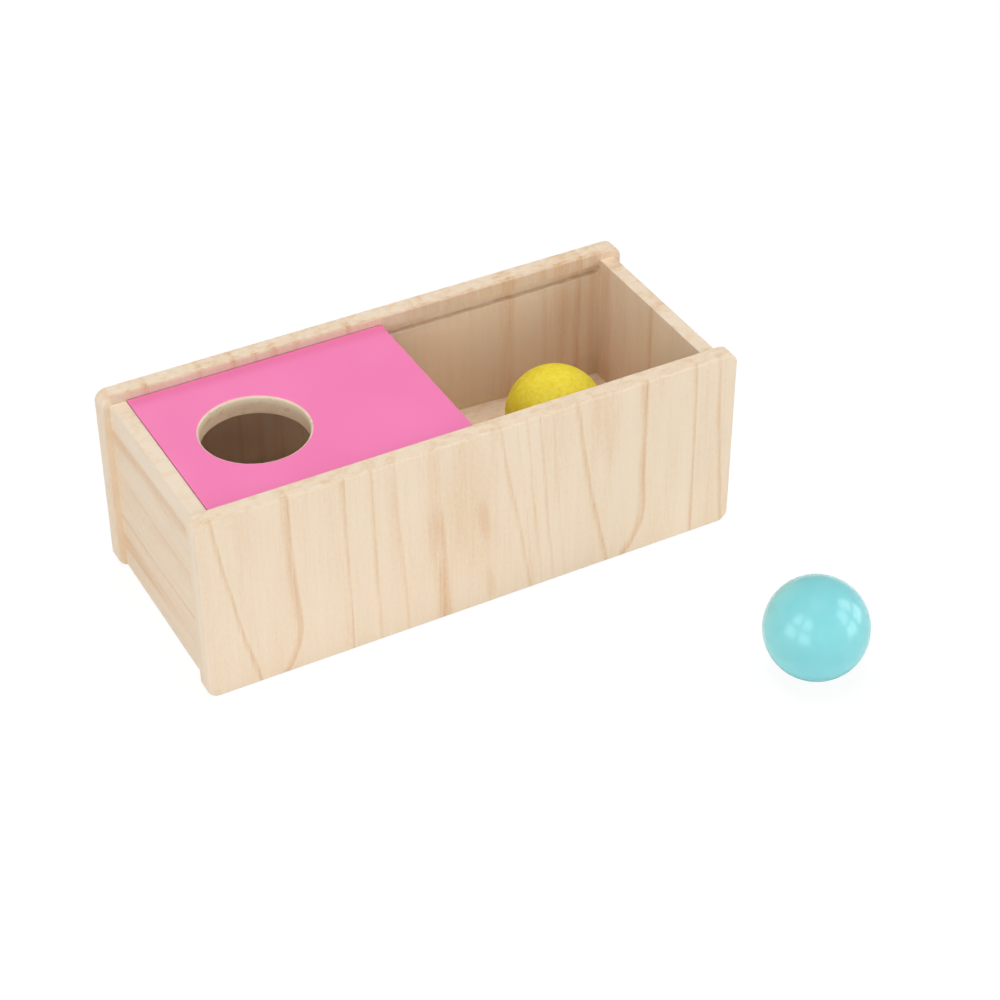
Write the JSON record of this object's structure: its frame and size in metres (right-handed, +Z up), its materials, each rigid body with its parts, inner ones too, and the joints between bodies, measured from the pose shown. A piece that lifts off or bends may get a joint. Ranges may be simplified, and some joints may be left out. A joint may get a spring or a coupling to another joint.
{
  "type": "object permanence box",
  "caption": "Long wooden box with a sloping floor and a half-length sliding lid that has a round ball hole, a ball in the open half and another loose beside it.",
  "frame": {"origin": "middle of the ground that the set covers, box and loose ball together, on the surface that they stand on", "axes": "+X along the box from the ball hole's end to the open end; +Y from the front to the rear; +Z up"},
  "size_m": [0.283, 0.259, 0.101],
  "materials": {
    "side_wood": "clear satin lacquer on pale solid wood",
    "end_wood": "clear satin lacquer on pale solid wood",
    "ramp_wood": "sanded pale plywood",
    "lid_paint": "smooth satin pink paint on the top, bare wood at the hole",
    "dowel_wood": "bare hardwood",
    "yellow_stain": "matt yellow stain with a mottled grain",
    "cyan_gloss": "high gloss"
  },
  "bodies": {
    "box": {"front_panel": "side_wood", "rear_panel": "side_wood", "left_end_panel": "end_wood", "right_end_panel": "end_wood", "ramp": "ramp_wood", "front_left_dowels": "dowel_wood", "front_right_dowels": "dowel_wood", "rear_left_dowels": "dowel_wood", "rear_right_dowels": "dowel_wood"},
    "lid": {"sliding_lid": "lid_paint"},
    "yellow_ball": {"yellow_ball": "yellow_stain"},
    "cyan_ball": {"cyan_ball": "cyan_gloss"}
  },
  "joints": [
    {"name": "lid_slide", "type": "slide", "parent": "box", "child": "lid", "axis": [1, 0, 0], "range_m": [0, 0.1242]},
    {"name": "ball_roll", "type": "slide", "parent": "box", "child": "yellow_ball", "axis": [0.9988, 0, -0.0489], "range_m": [-0.15754, 0.03174]},
    {"name": "loose_ball_lift", "type": "slide", "parent": "box", "child": "cyan_ball", "axis": [0, 0, 1], "range_m": [0, 0.12]}
  ]
}
